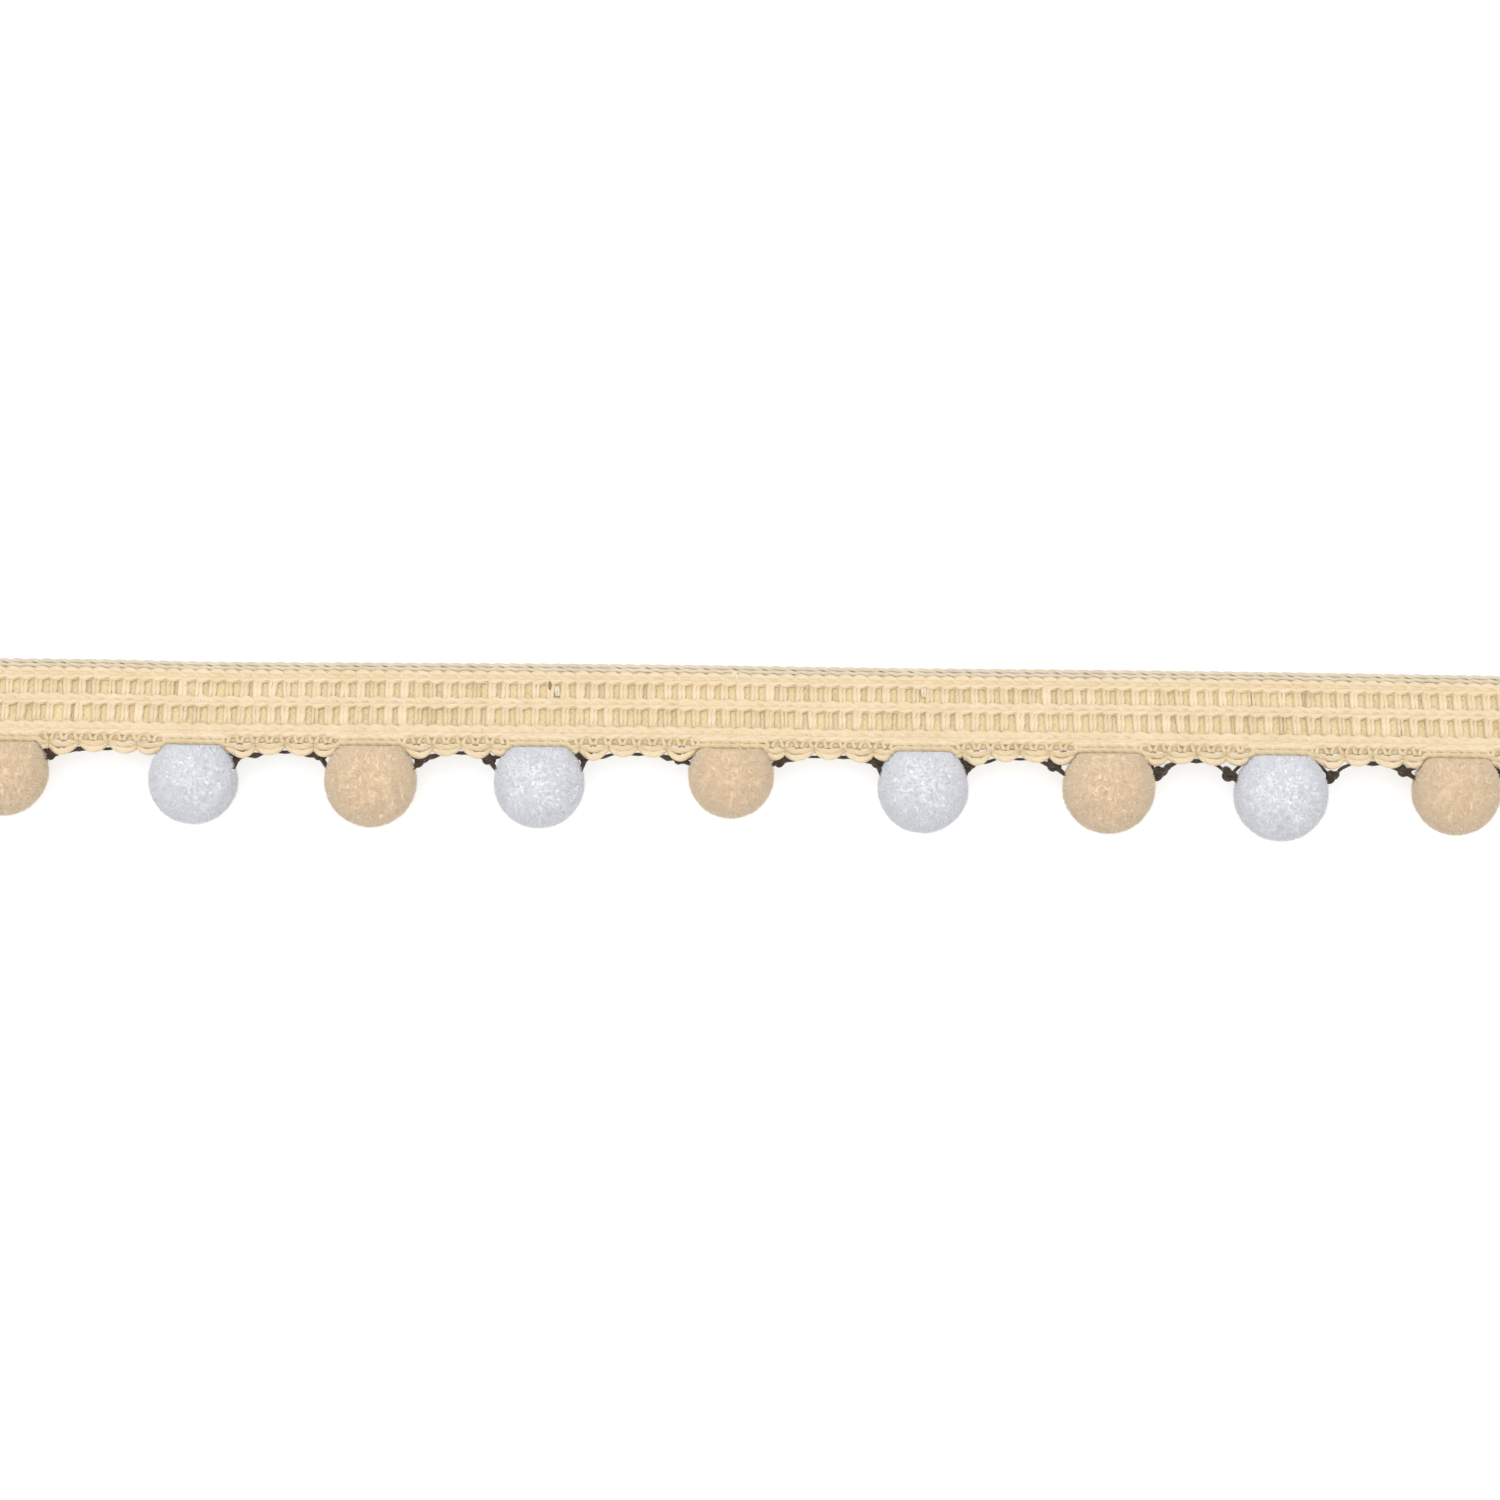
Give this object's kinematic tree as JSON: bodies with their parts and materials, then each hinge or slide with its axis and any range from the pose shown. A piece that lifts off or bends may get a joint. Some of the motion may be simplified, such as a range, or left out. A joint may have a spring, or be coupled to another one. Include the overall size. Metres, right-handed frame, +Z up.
{
  "type": "pompom fringe trim",
  "caption": "Cut length of ball fringe: a knitted cream tape with ribs, ladder bands and a picot edge, and small round tan and white pile balls bound along its lower edge.",
  "frame": {"origin": "middle of the cut length's bounding box, on the surface it rests on", "axes": "+X along the tape, +Y towards the tape's plain top edge, away from the balls, +Z up, out of the tape's face"},
  "size_m": [0.1812, 0.0204, 0.0102],
  "materials": {
    "tape_yarn": "soft knitted cotton-look yarn, matt, with a slight sheen on the ribs",
    "white_pile": "fine cut acrylic pile, matt, cool white",
    "tan_pile": "fine cut acrylic pile, matt, sandy tan"
  },
  "bodies": {
    "root": {"tape": "tape_yarn", "pompom_1": "tan_pile", "pompom_2": "white_pile", "pompom_3": "tan_pile", "pompom_4": "white_pile", "pompom_5": "tan_pile", "pompom_6": "white_pile", "pompom_7": "tan_pile", "pompom_8": "white_pile", "pompom_9": "tan_pile"}
  },
  "joints": []
}
